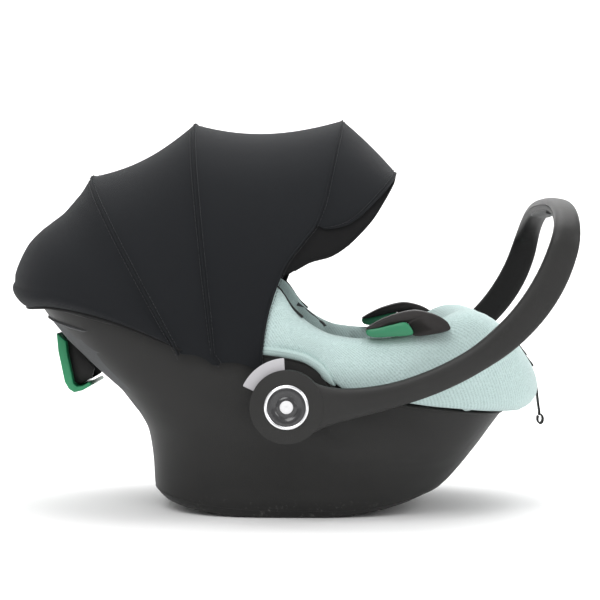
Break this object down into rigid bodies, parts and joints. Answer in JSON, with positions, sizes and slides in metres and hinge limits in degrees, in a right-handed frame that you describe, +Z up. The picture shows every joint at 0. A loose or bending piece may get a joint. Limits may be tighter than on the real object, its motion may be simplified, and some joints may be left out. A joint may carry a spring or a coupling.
{
  "type": "infant car seat",
  "caption": "Rear-facing infant car seat: rocker shell, swinging carry handle, folding three-bow canopy, padded cover and harness.",
  "frame": {"origin": "centre of the whole seat's length and width, on the floor that the rocker stands on", "axes": "+X towards the child's feet, +Y to the child's left, +Z up"},
  "size_m": [0.6941, 0.4518, 0.489],
  "materials": {
    "shell_plastic": "fine grained moulded plastic",
    "liner_foam": "expanded foam",
    "cover_knit": "mint knit with a fine honeycomb",
    "insert_knit": "soft mint knit",
    "black_plastic": "satin",
    "steel": "zinc plated",
    "handle_plastic": "fine grained moulded plastic",
    "grip_rubber": "soft touch",
    "emblem_plastic": "gloss",
    "emblem_chrome": "polished",
    "grey_plastic": "satin",
    "brim_fabric": "woven",
    "canopy_fabric": "stretch woven",
    "bright_green_plastic": "satin",
    "deep_green_plastic": "satin",
    "webbing": "woven webbing",
    "dark_plastic": "satin",
    "red_plastic": "gloss",
    "tag_cloth": "woven"
  },
  "bodies": {
    "seat": {"outer_shell": "shell_plastic", "foam_liner": "liner_foam", "seat_cover": "cover_knit", "newborn_insert": "insert_knit", "head_insert": "insert_knit", "handle_mount_left": "black_plastic", "handle_mount_right": "black_plastic", "pivot_pin_left": "steel", "pivot_pin_right": "steel", "lock_gear_left": "steel", "lock_gear_right": "steel", "canopy_rear_cover": "canopy_fabric", "canopy_rear_bow": "black_plastic", "belt_hook_left": "black_plastic", "belt_hook_right": "black_plastic", "hook_pad_left": "bright_green_plastic", "hook_pad_right": "bright_green_plastic", "rear_belt_guide": "deep_green_plastic", "rear_guide_bracket": "black_plastic", "rim_strip_left": "black_plastic", "rim_strip_right": "black_plastic", "shoulder_strap_left": "webbing", "shoulder_strap_right": "webbing", "shoulder_pad_left": "insert_knit", "shoulder_pad_right": "insert_knit", "tongue_left": "dark_plastic", "tongue_right": "dark_plastic", "buckle_body": "black_plastic", "crotch_strap": "webbing", "crotch_pad": "insert_knit", "splitter_plate": "steel", "adjuster_plate": "black_plastic", "adjuster_strap": "webbing", "cover_tag": "tag_cloth", "base_bars": "steel", "shell_screws": "steel"},
    "handle": {"handle_outer_shell": "handle_plastic", "handle_inner_shell": "handle_plastic", "handle_grip": "grip_rubber", "handle_hub_left": "handle_plastic", "handle_hub_right": "handle_plastic", "hub_cap_left": "emblem_plastic", "hub_cap_right": "emblem_plastic", "hub_ring_left": "emblem_chrome", "hub_ring_right": "emblem_chrome"},
    "release_button_left": {"release_button_left": "grey_plastic"},
    "release_button_right": {"release_button_right": "grey_plastic"},
    "canopy_mid": {"canopy_mid_panel": "canopy_fabric", "canopy_mid_bow": "black_plastic"},
    "canopy_front": {"canopy_front_panel": "canopy_fabric", "canopy_front_bow": "black_plastic", "canopy_brim": "brim_fabric"},
    "buckle_button": {"buckle_button": "red_plastic"},
    "adjuster_button": {"adjuster_button": "dark_plastic"}
  },
  "joints": [
    {"name": "handle_swing", "type": "hinge", "parent": "seat", "child": "handle", "pos_m": [-0.0037, 0, 0.14], "axis": [0, -1, 0], "range_deg": [0, 150]},
    {"name": "canopy_mid_fold", "type": "hinge", "parent": "seat", "child": "canopy_mid", "pos_m": [-0.0037, 0, 0.14], "axis": [0, -1, 0], "range_deg": [0, 19.5]},
    {"name": "canopy_front_fold", "type": "hinge", "parent": "canopy_mid", "child": "canopy_front", "pos_m": [-0.0037, 0, 0.14], "axis": [0, -1, 0], "range_deg": [0, 28.5]},
    {"name": "release_button_left_press", "type": "slide", "parent": "handle", "child": "release_button_left", "axis": [0.5592, 0, -0.829], "range_m": [0, 0.005], "stiffness_N_per_m": 600, "springref_m": -0.004},
    {"name": "release_button_right_press", "type": "slide", "parent": "handle", "child": "release_button_right", "axis": [0.5592, 0, -0.829], "range_m": [0, 0.005], "stiffness_N_per_m": 600, "springref_m": -0.004},
    {"name": "buckle_button_press", "type": "slide", "parent": "seat", "child": "buckle_button", "axis": [0, 0, -1], "range_m": [0, 0.004], "stiffness_N_per_m": 800, "springref_m": -0.003},
    {"name": "adjuster_button_press", "type": "slide", "parent": "seat", "child": "adjuster_button", "axis": [-0.788, 0, -0.6157], "range_m": [0, 0.002], "stiffness_N_per_m": 900, "springref_m": -0.002}
  ],
  "couplings": [
    {"joint": "canopy_front_fold", "follows": "canopy_mid_fold", "ratio": 1.46}
  ]
}
